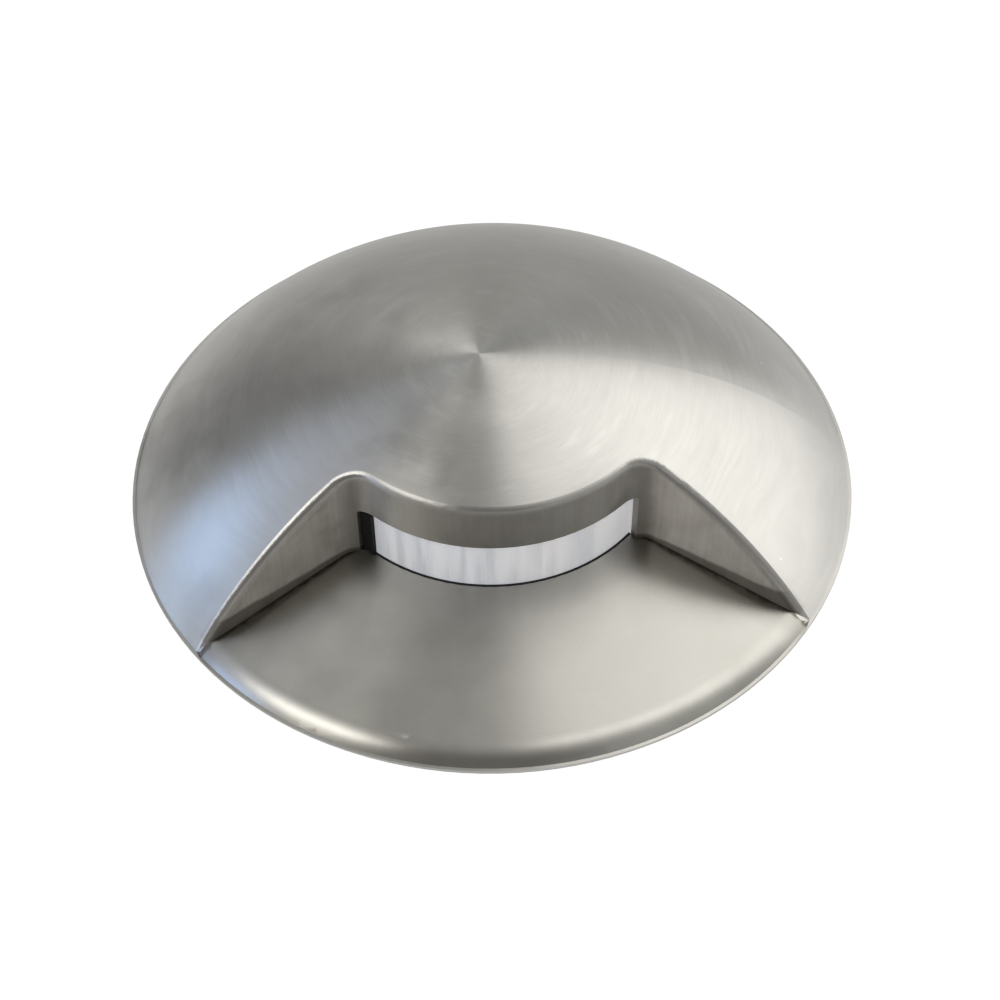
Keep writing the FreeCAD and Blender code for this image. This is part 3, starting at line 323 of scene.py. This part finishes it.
def dome_steel():
    """Brushed skin of the dome, and the duller milled walls of the pocket below its brow."""
    made, g = material("stainless_dome")
    place = g.place()
    radius, z, outward = polar(g, BRUSH_POLE)
    radius = g.total(radius, g.swing(g.noise(place, 60.0, 2.0), -0.4 * MM, 0.4 * MM))
    fine = g.noise(rings(g, radius, z, outward, *FINE_MARKS), 1.0, 3.0, 0.6)
    arcs = g.noise(rings(g, radius, z, outward, *ARC_MARKS), 1.0, 3.0, 0.6)
    broad = g.noise(rings(g, radius, z, outward, *BROAD_MARKS), 1.0, 2.0)
    streaks = g.smooth(g.noise(rings(g, radius, z, outward, *STREAK_MARKS), 1.0, 2.0), *STREAK_EDGE)
    mist = g.noise(place, 110.0, 4.0, 0.6)
    tone = g.total(
        g.swing(fine, -0.06, 0.06),
        g.swing(arcs, -0.045, 0.045),
        g.swing(broad, -0.03, 0.03),
        g.swing(mist, -0.05, 0.05),
        g.times(streaks, STREAK_TONE),
        g.times(scratches(g, place), SCRATCH_TONE),
        tone_patches(g, place),
        DOME_TONE,
    )
    skin = g.mix(tone, DOME_DARK, DOME_LIGHT)
    skin = g.mix(specks(g, place), skin, DUST)

    wall = wall_mask(g)
    marks = g.noise(g.scaled(place, MILLED_MARKS), 1.0, 3.0)
    mottle = g.noise(place, 420.0, 4.0, 0.6)
    worn = g.total(g.swing(marks, 0.0, 0.4), g.spread(mottle, 0.35, 0.65, 0.0, 0.6))
    milled = g.mix(worn, WALL_DARK, WALL_LIGHT)
    deep, _, _ = polar(g)
    # painted shade: the walls grow darker towards the pocket's back
    painted_shade = g.smooth(deep, POCKET_WALL_R + 2 * MM, POCKET_WALL_R + 0.4 * MM, 0.0, 0.55)
    milled = g.mix(painted_shade, milled, PAINTED_POCKET_SHADE)
    # painted shade in the crease at the walls' foot
    foot = g.maths("SUBTRACT", z, g.swing(mottle, 0.0, 0.3 * MM))
    milled = g.mix(g.smooth(foot, POCKET_FLOOR_Z + 0.5 * MM, POCKET_FLOOR_Z, 0.0, 0.75), milled, PAINTED_CREASE_SHADE)

    polish = g.swing(broad, DOME_ROUGH - 0.02, DOME_ROUGH + 0.02)
    matt = g.swing(mottle, WALL_ROUGH - 0.04, WALL_ROUGH + 0.04)
    height = g.blend(wall, g.total(fine, g.times(arcs, 0.5)), marks)
    g.principled(
        Base_Color=g.mix(wall, skin, milled),
        Metallic=1.0,
        Roughness=g.blend(wall, polish, matt),
        Anisotropic=0.85,
        Tangent=g.mix_vector(wall, outward, (0.0, 0.0, 1.0)),
        Normal=g.bump(height, BRUSH_DEPTH),
    )
    return made


def pocket_sides(g):
    """How far a place lies in front of the pocket's two side walls."""
    x, y, _ = g.split(g.place())
    forward = g.times(g.total(y, POCKET_APEX), -math.sin(POCKET_HALF_ANGLE))
    sideways = g.times(g.maths("ABSOLUTE", x), math.cos(POCKET_HALF_ANGLE))
    return g.maths("SUBTRACT", forward, sideways)


def wall_mask(g):
    """1 on the pocket's upright walls, 0 on the dome, with a soft change over the brow's rounding."""
    _, _, upward = g.split(g.node("ShaderNodeNewGeometry").outputs["Normal"])
    steep = g.smooth(g.maths("ABSOLUTE", upward), 0.8, 0.2)
    radius, _, _ = polar(g)
    inside = g.maths("MINIMUM", pocket_sides(g), g.maths("SUBTRACT", radius, POCKET_WALL_R))
    near = g.smooth(inside, -1.3 * MM, -0.9 * MM)
    off_the_lip = g.smooth(radius, LIP_R - MM, LIP_R - 1.3 * MM)
    return g.times(g.times(steep, near), off_the_lip)


def floor_steel():
    """Turned floor of the pocket: one shallow groove for every 0.2 mm of feed."""
    made, g = material("stainless_floor")
    radius, z, outward = polar(g)
    wave = g.maths("SINE", g.times(radius, 2 * math.pi / FEED))
    fade = g.smooth(radius, ROLL_START_R + 0.4 * MM, ROLL_START_R - 0.4 * MM, 0.1, 1.0)
    chatter = g.noise(rings(g, radius, z, outward, *CHATTER_MARKS), 1.0, 2.0)
    clouds = g.noise(g.place(), 170.0, 4.0, 0.6)
    stains = g.noise(g.place(), 70.0, 3.0, 0.5)
    height = g.times(wave, g.times(fade, g.swing(chatter, 0.4, 1.0)))
    tone = g.total(
        g.times(height, GROOVE_TONE),
        g.swing(clouds, -0.2, 0.2),
        g.swing(stains, -0.15, 0.15),
        FLOOR_TONE,
    )
    shade = g.mix(tone, FLOOR_DARK, FLOOR_LIGHT)
    # painted shade: the floor grows darker towards the back wall and the slot
    shade = g.mix(g.smooth(radius, POCKET_WALL_R + 4.5 * MM, POCKET_WALL_R, 0.0, 0.6), shade, PAINTED_POCKET_SHADE)
    # painted shade and painted reflection of the side walls on the floor beside them
    ragged = g.swing(g.noise(g.place(), 900.0, 3.0), -0.2 * MM, 0.2 * MM)
    beside = g.total(pocket_sides(g), ragged)
    shade = g.mix(g.smooth(beside, 3.5 * MM, 0.2 * MM, 0.0, 0.5), shade, PAINTED_POCKET_SHADE)
    # painted shade in the crease at the side walls' foot
    shade = g.mix(g.smooth(beside, 0.5 * MM, 0.1 * MM, 0.0, 0.8), shade, PAINTED_CREASE_SHADE)
    matt = g.swing(clouds, FLOOR_ROUGH - 0.03, FLOOR_ROUGH + 0.03)
    on_the_roll = g.smooth(radius, ROLL_START_R - 0.3 * MM, ROLL_START_R + 0.3 * MM)
    g.principled(
        Base_Color=shade,
        Metallic=1.0,
        Roughness=g.blend(on_the_roll, matt, ROLL_ROUGH),
        Anisotropic=0.9,
        Tangent=outward,
        Normal=g.bump(height, GROOVE_DEPTH),
    )
    return made


# ---- the other finishes ----------------------------------------------------------------------------------
TURNED_MARKS = (0.3 * MM, 4.0)
SHEET_MARKS = (1500.0, 150.0, 1500.0)  # per metre along x, y and z
FLOW_MARKS = (900.0, 900.0, 60.0)
LENS_DARK, LENS_LIGHT = (0.40, 0.42, 0.45), (0.98, 0.98, 0.97)
LENS_PAINTED_GLOW, LENS_PAINTED_GLOW_STRENGTH = (0.93, 0.95, 1.0, 1.0), 0.33  # painted glow, standing in for light that comes through the milky body
GRAIN_SCALE, CAST_GRAIN_SCALE, LENS_GRAIN_SCALE = 2200.0, 2600.0, 3000.0  # per metre


def under_steel():
    """Turned underside of the cover."""
    made, g = material("stainless_under")
    radius, z, outward = polar(g)
    lines = g.noise(rings(g, radius, z, outward, *TURNED_MARKS), 1.0, 2.0)
    shade = g.mix(lines, (0.42, 0.41, 0.4), (0.55, 0.54, 0.52))
    g.principled(
        Base_Color=shade, Metallic=1.0, Roughness=g.swing(lines, 0.38, 0.46),
        Anisotropic=0.5, Tangent=outward, Normal=g.bump(lines, 0.01 * MM, 0.6)
    )
    return made


def turned_metal(name, dark, light, rough):
    """Machined metal with faint rings, drawn round the light's axis for every piece."""
    made, g = material(name)
    radius, z, outward = polar(g)
    lines = g.noise(rings(g, radius, z, outward, *TURNED_MARKS), 1.0, 3.0)
    clouds = g.noise(g.place(), 300.0, 3.0)
    shade = g.mix(g.times(g.total(lines, clouds), 0.5), dark, light)
    g.principled(
        Base_Color=shade, Metallic=1.0, Roughness=g.swing(clouds, rough - 0.05, rough + 0.05),
        Normal=g.bump(lines, 0.01 * MM, 0.6)
    )
    return made


def sheet_metal(name, dark, light, rough):
    """Rolled sheet: marks that run one way, with scuffs."""
    made, g = material(name)
    grain = g.noise(g.scaled(g.place(), SHEET_MARKS), 1.0, 2.0)
    scuffs = g.noise(g.place(), 500.0, 3.0, 0.6)
    shade = g.mix(g.times(g.total(grain, scuffs), 0.5), dark, light)
    g.principled(
        Base_Color=shade, Metallic=1.0, Roughness=g.spread(scuffs, 0.35, 0.65, rough - 0.06, rough + 0.06),
        Normal=g.bump(grain, 0.004 * MM)
    )
    return made


def cast_metal(name, dark, light, rough):
    """Die-cast alloy with a fine tumbled grain."""
    made, g = material(name)
    grain = g.noise(g.place(), CAST_GRAIN_SCALE, 3.0, 0.6)
    clouds = g.noise(g.place(), 180.0, 3.0)
    shade = g.mix(g.times(g.total(grain, clouds), 0.5), dark, light)
    g.principled(
        Base_Color=shade, Metallic=1.0, Roughness=g.swing(clouds, rough - 0.05, rough + 0.05),
        Normal=g.bump(grain, 0.03 * MM)
    )
    return made


def moulded(name, dark, light, rough, **more):
    """Moulded plastic, rubber or laminate with a fine even grain and faint mottling."""
    made, g = material(name)
    grain = g.noise(g.place(), GRAIN_SCALE, 2.0)
    clouds = g.noise(g.place(), 260.0, 3.0)
    shade = g.mix(clouds, dark, light)
    g.principled(
        Base_Color=shade, Roughness=g.swing(clouds, rough - 0.05, rough + 0.05),
        Normal=g.bump(grain, 0.015 * MM), **more
    )
    return made


def frosted():
    """Milky diffuser with faint upright flow marks from the mould, painted lighter towards the right, and
    with a painted glow.
    """
    made, g = material("frosted_diffuser")
    x, _, _ = g.split(g.place())
    streaks = g.noise(g.scaled(g.place(), FLOW_MARKS), 1.0, 3.0)
    grain = g.noise(g.place(), LENS_GRAIN_SCALE, 2.0)
    # the rise along x is painted light: the lens grows lighter towards the right
    tone = g.total(g.spread(streaks, 0.38, 0.62, 0.0, 0.6), g.spread(x, -10 * MM, 14 * MM, 0.0, 0.5))
    shade = g.mix(tone, LENS_DARK, LENS_LIGHT)
    shader = g.principled(
        Base_Color=shade, Roughness=0.42, IOR=1.49,
        Subsurface_Weight=0.3, Subsurface_Scale=0.002, Normal=g.bump(grain, 0.01 * MM, 0.4)
    )
    # painted glow: the diffuser gives off light of its own
    shader.inputs["Emission Color"].default_value = LENS_PAINTED_GLOW
    shader.inputs["Emission Strength"].default_value = LENS_PAINTED_GLOW_STRENGTH
    return made


FINISHES = {
    "stainless_brushed": under_steel(),
    "stainless_sheet": sheet_metal("stainless_sheet", (0.42, 0.41, 0.39), (0.6, 0.59, 0.57), 0.33),
    "screw_steel": turned_metal("screw_steel", (0.45, 0.44, 0.42), (0.62, 0.61, 0.58), 0.27),
    "spring_steel": sheet_metal("spring_steel", (0.38, 0.37, 0.35), (0.56, 0.55, 0.53), 0.28),
    "cast_aluminium": cast_metal("cast_aluminium", (0.5, 0.505, 0.51), (0.66, 0.665, 0.67), 0.42),
    "cap_aluminium": turned_metal("cap_aluminium", (0.54, 0.545, 0.55), (0.7, 0.705, 0.71), 0.36),
    "frosted_diffuser": frosted(),
    "white_reflector": moulded("white_reflector", (0.8, 0.8, 0.79), (0.87, 0.87, 0.86), 0.35),
    "black_silicone": moulded(
        "black_silicone", (0.01, 0.01, 0.011), (0.02, 0.02, 0.021), 0.6, Specular_IOR_Level=0.2
    ),
    "grey_silicone": moulded("grey_silicone", (0.2, 0.2, 0.2), (0.27, 0.27, 0.265), 0.6),
    "board_white": moulded("board_white", (0.74, 0.75, 0.74), (0.82, 0.83, 0.82), 0.4),
    "board_green": moulded("board_green", (0.02, 0.12, 0.05), (0.03, 0.17, 0.075), 0.35),
    "led_phosphor": moulded("led_phosphor", (0.75, 0.55, 0.08), (0.85, 0.66, 0.14), 0.5),
    "pad_grey": moulded("pad_grey", (0.3, 0.32, 0.34), (0.38, 0.4, 0.42), 0.7),
    "wire_red": moulded("wire_red", (0.45, 0.02, 0.015), (0.58, 0.035, 0.025), 0.45),
    "wire_black": moulded("wire_black", (0.015, 0.015, 0.016), (0.03, 0.03, 0.032), 0.45),
    "ferrite": moulded("ferrite", (0.05, 0.05, 0.052), (0.09, 0.09, 0.092), 0.5),
    "can_aluminium": turned_metal("can_aluminium", (0.6, 0.61, 0.63), (0.74, 0.75, 0.77), 0.3),
    "black_epoxy": moulded("black_epoxy", (0.02, 0.02, 0.022), (0.04, 0.04, 0.042), 0.5),
    "terminal_plastic": moulded("terminal_plastic", (0.03, 0.16, 0.1), (0.05, 0.22, 0.14), 0.42),
    "gland_nylon": moulded("gland_nylon", (0.02, 0.02, 0.021), (0.04, 0.04, 0.042), 0.48),
}


def dress_nodes():
    """Each node of the part takes the finish named by the material slot it came with."""
    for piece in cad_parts.values():
        for slot in piece.material_slots:
            slot.material = FINISHES[slot.material.name.split(".")[0]]


UNDER, DOME, FLOOR = range(3)  # the cover's finishes: under and inside, dome and walls, floor and roll
SLACK = 0.03 * MM  # for faces that lie right on a limit


def inside_pocket(point):
    """How far a point lies in front of the pocket's side walls and its back wall."""
    forward = (-point.y - POCKET_APEX) * math.sin(POCKET_HALF_ANGLE)
    sideways = abs(point.x) * math.cos(POCKET_HALF_ANGLE)
    to_back = math.hypot(point.x, point.y) - POCKET_WALL_R
    return min(forward - sideways, to_back)


def cover_region(polygon):
    """Which finish a face of the cover has."""
    centre, normal = polygon.center, polygon.normal
    r = math.hypot(centre.x, centre.y)
    in_pocket = inside_pocket(centre) > -SLACK
    on_floor = centre.z < POCKET_FLOOR_Z + SLACK and normal.z > 0.3
    if in_pocket and on_floor and r < LIP_R - SLACK:
        return FLOOR
    walls = in_pocket and normal.z > -0.1
    slopes = r > POCKET_WALL_R - 2 * MM and normal.z > 0.02 and centre.z > COVER_LOW.z + 0.2 * MM
    crown = normal.z > 0.5 and centre.z > COVER_HIGH.z - 4 * MM
    rim = r > LIP_R - 4 * SLACK
    return DOME if walls or slopes or crown or rim else UNDER


def cover():
    """The cover's own mesh with a finish for each of its surfaces."""
    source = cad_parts["eyelid_cover"]
    mesh = source.data.copy()
    piece = add_object("cover_shell", mesh)
    mesh.materials.clear()
    for finish in (FINISHES["stainless_brushed"], dome_steel(), floor_steel()):  # UNDER, DOME, FLOOR
        mesh.materials.append(finish)
    for polygon in mesh.polygons:
        polygon.material_index = cover_region(polygon)
    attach(piece, "light")
    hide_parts("eyelid_cover")


def spring_path():
    """Points of the right-hand spring's wire, from the end of the fixed leg to that of the moving leg."""
    coil = []
    for k in range(round(COIL_TURNS * TURN_STEPS) + 1):
        turn = k / TURN_STEPS
        angle = math.pi - 2 * math.pi * turn
        y = (turn - COIL_TURNS / 2) * COIL_PITCH
        coil.append(Vector((PIN_X + COIL_R * math.cos(angle), y, PIN_Z + COIL_R * math.sin(angle))))
    first = (coil[0] - coil[1]).normalized()
    last = (coil[-1] - coil[-2]).normalized()
    fixed = [coil[0] + first * FIXED_LEG * (LEG_STEPS - k) / LEG_STEPS for k in range(LEG_STEPS)]
    moving = [coil[-1] + last * MOVING_LEG * (k + 1) / LEG_STEPS for k in range(LEG_STEPS)]
    return fixed + coil + moving


def wire(name, points):
    """Round wire along points, with domed ends."""
    ahead, behind = points[1:] + points[-1:], points[:1] + points[:-1]
    tangents = [(a - b).normalized() for a, b in zip(ahead, behind)]
    side = tangents[0].orthogonal().normalized()
    hoops = []
    for point, tangent in zip(points, tangents):
        side = (side - tangent * side.dot(tangent)).normalized()
        hoops.append((point, side.copy(), tangent.cross(side), WIRE_R))
    first, last = hoops[0], hoops[-1]
    cap_start = (first[0] - tangents[0] * WIRE_R * CAP_REACH, first[1], first[2], WIRE_R * CAP_R)
    cap_end = (last[0] + tangents[-1] * WIRE_R * CAP_REACH, last[1], last[2], WIRE_R * CAP_R)
    hoops = [cap_start] + hoops + [cap_end]
    verts = []
    for centre, across, up, r in hoops:
        for k in range(WIRE_SIDES):
            angle = 2 * math.pi * k / WIRE_SIDES
            verts.append(centre + (across * math.cos(angle) + up * math.sin(angle)) * r)
    faces = []
    for start in range(0, len(verts) - WIRE_SIDES, WIRE_SIDES):
        for k in range(WIRE_SIDES):
            a, b = start + k, start + (k + 1) % WIRE_SIDES
            faces.append((a, b, b + WIRE_SIDES, a + WIRE_SIDES))
    faces.append(tuple(reversed(range(WIRE_SIDES))))
    faces.append(tuple(range(len(verts) - WIRE_SIDES, len(verts))))
    mesh = bpy.data.meshes.new(name)
    mesh.from_pydata(verts, [], faces)
    mesh.update()
    for polygon in mesh.polygons:
        polygon.use_smooth = len(polygon.vertices) == 4
    return add_object(name, mesh)


def springs():
    """Smooth torsion springs round the clips' pins, in place of the part's own springs."""
    for side, sign in (("right", 1), ("left", -1)):
        points = [Vector((sign * p.x, p.y, p.z)) for p in spring_path()]
        piece = wire("torsion_spring_" + side, points)
        piece.data.materials.append(FINISHES["spring_steel"])
        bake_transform(piece)
        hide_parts("clip_spring_" + side)


# ---- surroundings ----------------------------------------------------------------------------------------
FLOOR_GAP = 0.3 * MM
FLOOR_SIZE = 200.0
PAPER_DARK, PAPER_LIGHT = (0.76, 0.76, 0.76), (0.79, 0.79, 0.79)
WHITE_GLOW = 1.1
FLOOR_SEEN, FLOOR_MIRRORED = 0.9, 0.3  # share of white for the camera, and for metal and glass
SKY_SEEN, SKY_MIRRORED = 1.0, 0.12
SKY_LOW, SKY_HIGH = (0.32, 0.32, 0.30), (0.33, 0.33, 0.31)
WINDOW = (1.83, 1.80, 1.72)
# how far right, forward and back on the unit sphere the window reaches, from outside to inside its soft edge
WINDOW_LEFT, WINDOW_FRONT, WINDOW_BACK = (0.045, 0.07), (-0.2, 0.05), (0.72, 0.65)
# lamps and dim places: azimuth and elevation, the radii between which they fade, all in degrees, and colour
SOFT_LIGHTS = (
    ((-142, 22), 14, 36, (0.06, 0.06, 0.06)),
    ((-106, 44), 12, 30, (0.56, 0.59, 0.66)),
    ((-14, 38), 24, 42, (0.035, 0.025, 0.015)),
    ((-66, 53), 6, 19, (3.7, 3.6, 3.4)),
    ((-104, 15), 4, 17, (1.15, 1.6, 2.4)),
    ((-76, 15), 4, 14, (1.05, 1.45, 2.3)),
)


def heading(azimuth, elevation):
    """Unit vector at an azimuth from the front (-Y) towards +X and an elevation, both in radians."""
    flat = math.cos(elevation)
    return Vector((math.sin(azimuth) * flat, -math.cos(azimuth) * flat, math.sin(elevation)))


def backdrop_share(g, seen, mirrored):
    """How much of the white backdrop a ray finds: from the camera, and off metal or through glass."""
    rays = g.node("ShaderNodeLightPath")
    direct = g.times(rays.outputs["Is Camera Ray"], seen)
    bent = g.total(rays.outputs["Is Glossy Ray"], rays.outputs["Is Transmission Ray"])
    return g.maths("ADD", direct, g.times(bent, mirrored), clamp=True)


def floor():
    """Plain pale floor just below the part, which takes its shadow."""
    mesh = bpy.data.meshes.new("studio_floor")
    z = cad_box[0].z - FLOOR_GAP
    h = FLOOR_SIZE / 2
    mesh.from_pydata([(-h, -h, z), (h, -h, z), (h, h, z), (-h, h, z)], [], [(0, 1, 2, 3)])
    piece = add_object("studio_floor", mesh)
    made, g = material("studio_floor")
    paper = g.node("ShaderNodeBsdfDiffuse")
    grain = g.noise(g.place(), 900.0, 2.0)
    g.feed(paper.inputs["Color"], g.mix(grain, PAPER_DARK, PAPER_LIGHT))
    glow = g.node("ShaderNodeEmission")
    glow.inputs["Strength"].default_value = WHITE_GLOW
    both = g.node("ShaderNodeMixShader")
    g.feed(both.inputs[0], backdrop_share(g, FLOOR_SEEN, FLOOR_MIRRORED))
    g.feed(both.inputs[1], paper.outputs[0])
    g.feed(both.inputs[2], glow.outputs[0])
    g.feed(g.node("ShaderNodeOutputMaterial").inputs[0], both.outputs[0])
    mesh.materials.append(made)


def lobe(g, direction, towards, inner, outer):
    """1 within inner degrees of a place in the sky, falling to 0 at outer degrees."""
    facing = g.vector("DOT_PRODUCT", direction, heading(*map(math.radians, towards)))
    return g.smooth(facing, math.cos(math.radians(outer)), math.cos(math.radians(inner)))


def sky():
    """Soft room: a wide window to the right, lamps to the left, cool low down, a dim front and rear left."""
    world = bpy.data.worlds.new("studio")
    bpy.context.scene.world = world
    world.use_nodes = True
    g = Graph(world.node_tree)
    direction = g.node("ShaderNodeTexCoord").outputs["Generated"]
    x, y, z = g.split(direction)
    shade = g.mix(g.smooth(z, 0.0, 0.9), SKY_LOW, SKY_HIGH)
    for towards, inner, outer, colour in SOFT_LIGHTS:
        shade = g.mix(lobe(g, direction, towards, inner, outer), shade, colour)
    front_to_back = g.times(g.smooth(y, *WINDOW_BACK), g.smooth(y, *WINDOW_FRONT))
    window = g.times(g.smooth(x, *WINDOW_LEFT), front_to_back)
    shade = g.mix(window, shade, WINDOW)
    shade = g.mix(backdrop_share(g, SKY_SEEN, SKY_MIRRORED), shade, (1.0, 1.0, 1.0))
    back = g.node("ShaderNodeBackground")
    g.feed(back.inputs["Color"], shade)
    g.feed(g.node("ShaderNodeOutputWorld").inputs[0], back.outputs[0])


def turned(first, second, angle):
    """Two directions square to each other, after a turn from the first towards the second."""
    cos, sin = math.cos(angle), math.sin(angle)
    return first * cos + second * sin, second * cos - first * sin


def camera():
    """The camera that took the photograph."""
    back = heading(CAMERA_AZIMUTH, CAMERA_ELEVATION)
    ahead = -back
    right = Vector((math.cos(CAMERA_AZIMUTH), math.sin(CAMERA_AZIMUTH), 0.0))
    up = right.cross(ahead)
    ahead, right = turned(ahead, right, AIM_RIGHT)
    ahead, up = turned(ahead, up, AIM_UP)
    right, up = turned(right, up, CAMERA_ROLL)
    data = bpy.data.cameras.new("camera")
    data.sensor_width = SENSOR_WIDTH
    data.lens = FOCAL_PIXELS / IMAGE_PIXELS * SENSOR_WIDTH
    data.clip_start = CLIP_NEAR
    data.clip_end = CLIP_FAR
    piece = add_object("camera", data)
    turn = Matrix((right, up, -ahead)).transposed().to_4x4()
    piece.matrix_world = Matrix.Translation(back * CAMERA_DISTANCE) @ turn
    bpy.context.scene.camera = piece


dress_nodes()
cover()
springs()
floor()
sky()
camera()
bpy.context.scene.view_settings.view_transform = "Standard"
